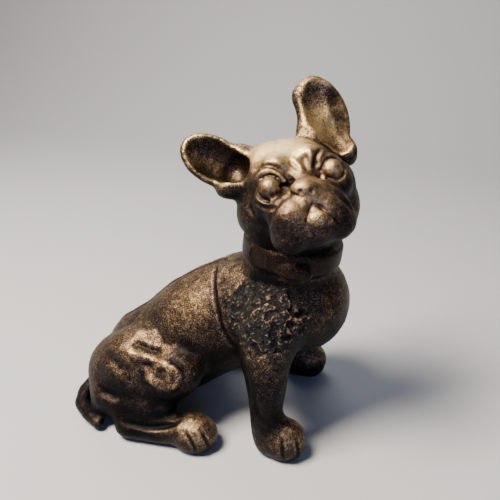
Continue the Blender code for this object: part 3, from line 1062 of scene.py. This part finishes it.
# The colours: what each is called, what picks it, and its sRGB codes from low to high
RAMPS = (
    (
        "plating",
        "worn",
        (
            (0.0, "#0e0e10"),
            (0.28, "#2a2320"),
            (0.5, "#5a493c"),
            (0.72, "#a18663"),
            (1.0, "#f6d598"),
        ),
    ),
    (
        "rust",
        "flaked",
        ((0.0, "#060608"), (0.5, "#100f11"), (0.78, "#26211f"), (1.0, "#776354")),
    ),
    # Painted shade, near black, deep in the ears
    ("soot_black", "sand", ((0.4, "#0c0908"), (0.7, "#2b211b"))),
    # Painted shadow from the jaw, darkening the strap
    ("strap_brown", "sand", ((0.3, "#120e0d"), (0.7, "#2e231d"))),
)

# What lies over the plating, how much it covers, and where: the flakes, painted shade deep in
# the ears and painted shadow on the strap
COATS = (("rust", 1.0, "flakes"), ("soot_black", 0.92, "soot"), ("strap_brown", 0.75, "strap"))


def patinated_iron():
    """Sand-cast iron under a bronze-coloured plating, rubbed to copper-gold where hands reach
    and gone to black iron in the hollows, with painted top light on the faces turned up and
    painted shade in the broad recesses, on the faces turned down, deep in the ears and on the
    strap. The eye gets a dense speckle of dark and gold grains with a low metal gleam, and dull
    grey-brown flakes on the near shoulder."""
    material = bpy.data.materials.new("patinated_cast_iron")
    material.use_nodes = True
    tree = material.node_tree
    shader = tree.nodes["Principled BSDF"]
    place = add(tree, "ShaderNodeTexCoord").outputs["Object"]
    known = {}
    for name in SPOTS:
        spot = add(tree, "ShaderNodeAttribute", {"attribute_name": name})
        known[name] = spot.outputs["Fac"]
    for name, size, detail in GRAINS:
        settings = {"Scale": per_metre(size), "Detail": detail, "Roughness": 0.6}
        grains = add(tree, "ShaderNodeTexNoise", settings, {"Vector": place})
        known[name] = grains.outputs["Fac"]

    centred = add(
        tree, "ShaderNodeMath", {"operation": "SUBTRACT", 1: 0.5}, {0: known["sand"]}
    )
    sparkle = add(
        tree,
        "ShaderNodeMath",
        {"operation": "MULTIPLY"},
        {0: centred.outputs[0], 1: known["coarse"]},
    )
    known["sparkle"] = sparkle.outputs[0]

    curl = add(
        tree,
        "ShaderNodeTexNoise",
        {"Scale": per_metre(CURL_NOISE_MM), "Detail": 1.0},
        {"Vector": place},
    )
    bent = add(
        tree,
        "ShaderNodeVectorMath",
        {"operation": "MULTIPLY_ADD", 1: (CURL_BEND_M,) * 3},
        {0: curl.outputs["Color"], 2: place},
    )
    loops = add(
        tree,
        "ShaderNodeTexVoronoi",
        {"feature": "DISTANCE_TO_EDGE", "Scale": per_metre(LOOP_MM)},
        {"Vector": bent.outputs[0]},
    )
    rims = add(
        tree,
        "ShaderNodeMapRange",
        {1: 0.0, 2: RIM_SHARE, 3: 1.0, 4: 0.0},
        {0: loops.outputs["Distance"]},
    )
    known["rims"] = rims.outputs[0]
    rims_here = add(
        tree,
        "ShaderNodeMath",
        {"operation": "MULTIPLY"},
        {0: known["rims"], 1: known["flakes"]},
    )
    known["rims_here"] = rims_here.outputs[0]

    for name, start, parts in SUMS:
        for source, share in parts:
            links = {0: known[source]}
            if name in known:
                links[2] = known[name]
            settings = {"operation": "MULTIPLY_ADD", 1: share, 2: start}
            known[name] = add(tree, "ShaderNodeMath", settings, links).outputs[0]
    for name, source, stops in RAMPS:
        ramp = add(tree, "ShaderNodeValToRGB", {"stops": stops}, {"Fac": known[source]})
        known[name] = ramp.outputs["Color"]

    colour = known["plating"]
    for name, cover, spot in COATS:
        share = add(
            tree, "ShaderNodeMath", {"operation": "MULTIPLY", 1: cover}, {0: known[spot]}
        )
        coated = add(
            tree,
            "ShaderNodeMix",
            {"data_type": "RGBA"},
            {0: share.outputs[0], 6: colour, 7: known[name]},
        )
        colour = coated.outputs[2]
    bump = add(
        tree,
        "ShaderNodeBump",
        {"Strength": 0.8, "Distance": GRAIN_HEIGHT_M},
        {"Height": known["height"]},
    )
    tree.links.new(colour, shader.inputs["Base Color"])
    tree.links.new(known["metallic"], shader.inputs["Metallic"])
    tree.links.new(known["roughness"], shader.inputs["Roughness"])
    tree.links.new(bump.outputs["Normal"], shader.inputs["Normal"])
    return material


def pale_floor():
    """A sheet of matt paper, so plain that nothing on it draws the eye."""
    material = bpy.data.materials.new("matt_paper")
    material.use_nodes = True
    shader = material.node_tree.nodes["Principled BSDF"]
    shader.inputs["Base Color"].default_value = linear("#b9bcc2")
    shader.inputs["Roughness"].default_value = 0.9
    return material


# ---------------------------------------------------------------- the stage

CAMERA_AT = Vector((45.4, -281.4, 228.0)) * UNIT + FIGURE_AT
CAMERA_AZIMUTH = 14.5
CAMERA_ELEVATION = 24.0
CAMERA_LENS = 43.2

# The paper behind the dog, in metres
PAPER_SIZE = 4
PAPER_BEND_AT = 0.55
PAPER_BEND_RADIUS = 0.35

# The lights, all aimed at the dog's middle: name, place, size, watts and colour
LIGHT_AIM = (0.0, 0.0, 0.09)
LIGHTS = (
    ("key", (-0.30, -0.28, 0.78), 0.32, 22.5, "#fff1dc"),
    ("fill", (0.40, -0.9, 0.12), 0.6, 3.4, "#86a2ff"),
    ("back", (-0.25, 0.5, 0.7), 0.5, 2.5, "#ffffff"),
)
ROOM_COLOUR = "#c4ccd8"
ROOM_STRENGTH = 0.12


def make_stage():
    """A pale floor that curves up behind the dog."""
    bpy.ops.object.select_all(action="DESELECT")
    bpy.ops.mesh.primitive_grid_add(x_subdivisions=2, y_subdivisions=60, size=PAPER_SIZE)
    floor = bpy.context.object
    floor.name = "paper_sweep"
    for vertex in floor.data.vertices:
        past = vertex.co.y - PAPER_BEND_AT
        if past > 0:
            angle = min(past / PAPER_BEND_RADIUS, math.pi / 2)
            risen = max(0.0, past - PAPER_BEND_RADIUS * math.pi / 2)
            vertex.co.y = PAPER_BEND_AT + PAPER_BEND_RADIUS * math.sin(angle)
            vertex.co.z = PAPER_BEND_RADIUS * (1 - math.cos(angle)) + risen
    bpy.ops.object.shade_smooth()
    floor.data.materials.append(pale_floor())


def make_light():
    """A warm lamp above, a wide cool one low in front, a faint one behind and a dim room."""
    for name, at, size, power, colour in LIGHTS:
        bpy.ops.object.light_add(type="AREA", location=at)
        light = bpy.context.object
        light.name = name
        towards = Vector(LIGHT_AIM) - Vector(at)
        light.rotation_euler = towards.to_track_quat("-Z", "Y").to_euler()
        light.data.size = size
        light.data.energy = power
        light.data.color = linear(colour)[:3]
    world = bpy.data.worlds.new("room")
    bpy.context.scene.world = world
    world.use_nodes = True
    background = world.node_tree.nodes["Background"]
    background.inputs["Color"].default_value = linear(ROOM_COLOUR)
    background.inputs["Strength"].default_value = ROOM_STRENGTH


def make_camera():
    """The photo's camera, in front of the dog's right side and above it."""
    azimuth, elevation = math.radians(CAMERA_AZIMUTH), math.radians(CAMERA_ELEVATION)
    bpy.ops.object.camera_add(
        location=CAMERA_AT, rotation=(math.pi / 2 - elevation, 0, azimuth)
    )
    camera = bpy.context.object
    camera.data.lens = CAMERA_LENS
    camera.data.sensor_width = 36.0
    camera.data.sensor_fit = "HORIZONTAL"
    bpy.context.scene.camera = camera


def main():
    """Models the dog, cuts it in its two halves and sets the stage."""
    casting = model_dog()
    finish = patinated_iron()
    for name, side in (("right_half", -1), ("left_half", 1)):
        half = half_of(casting, name + "_cast", side)
        half.data.materials.clear()
        half.data.materials.append(finish)
        bpy.ops.object.shade_smooth_by_angle(angle=math.radians(60))
        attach(half, "root")
        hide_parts(name)
    bpy.data.objects.remove(casting)
    make_stage()
    make_light()
    make_camera()


main()
